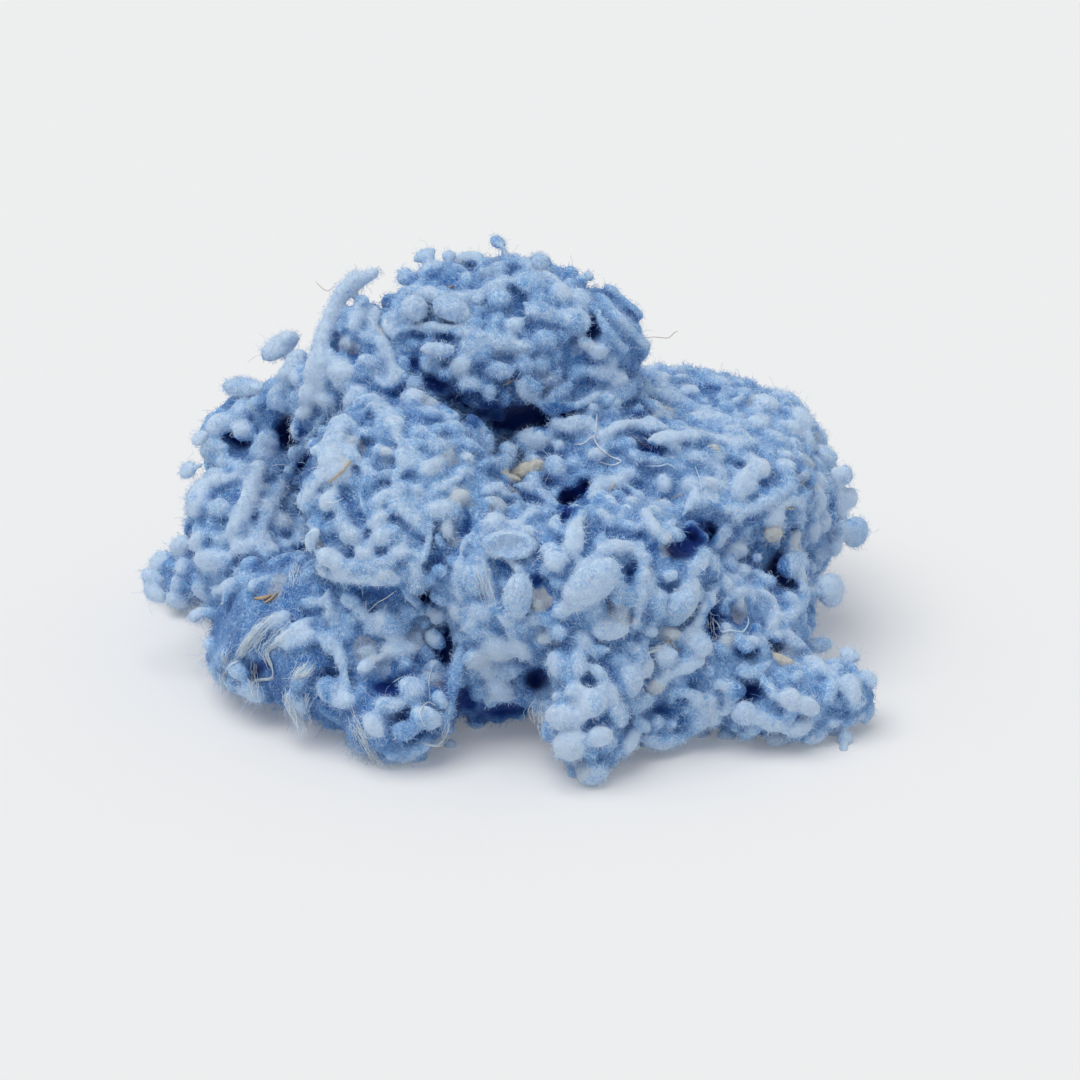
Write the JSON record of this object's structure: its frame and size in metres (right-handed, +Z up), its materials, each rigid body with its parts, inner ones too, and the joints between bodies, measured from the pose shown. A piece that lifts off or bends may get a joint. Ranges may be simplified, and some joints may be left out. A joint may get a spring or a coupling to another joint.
{
  "type": "heap of merino wool nepps",
  "caption": "Free-standing heap of matted merino wool nepps: small felted balls, slubs and tapering locks in pale blue, with a few undyed ones.",
  "frame": {"origin": "on the ground under the middle of the heap's box", "axes": "+X along the heap's length, to the right in the picture; +Y away from the viewer; +Z up"},
  "size_m": [0.1508, 0.1166, 0.0847],
  "materials": {
    "blue_wool": "matt felted merino dyed pale blue, with fine loose fibres",
    "undyed_wool": "matt felted merino in its natural cream"
  },
  "bodies": {
    "root": {"crown_clump": "blue_wool", "left_flap": "blue_wool", "left_upper_tuft": "blue_wool", "centre_clump": "blue_wool", "right_lobe": "blue_wool", "right_front_clump": "blue_wool", "front_foot": "blue_wool", "right_tail": "blue_wool", "front_left_clump": "blue_wool", "left_middle_clump": "blue_wool", "left_back_clump": "blue_wool", "left_tail": "blue_wool", "back_clump": "blue_wool", "nepp_crown_ball": "blue_wool", "nepp_crown_oval": "blue_wool", "nepp_crown_pip": "blue_wool", "nepp_crown_bar": "blue_wool", "nepp_crown_top": "blue_wool", "nepp_left_lens": "blue_wool", "nepp_centre_right": "blue_wool", "nepp_centre_left": "blue_wool", "nepp_right_ball": "blue_wool", "nepp_centre_far": "blue_wool", "rolled_disc": "blue_wool", "slub_cream": "undyed_wool", "nepp_pale_right": "undyed_wool", "nepp_granular": "undyed_wool", "nepp_flap_pale": "undyed_wool", "slub_cream_tail": "undyed_wool"}
  },
  "joints": []
}
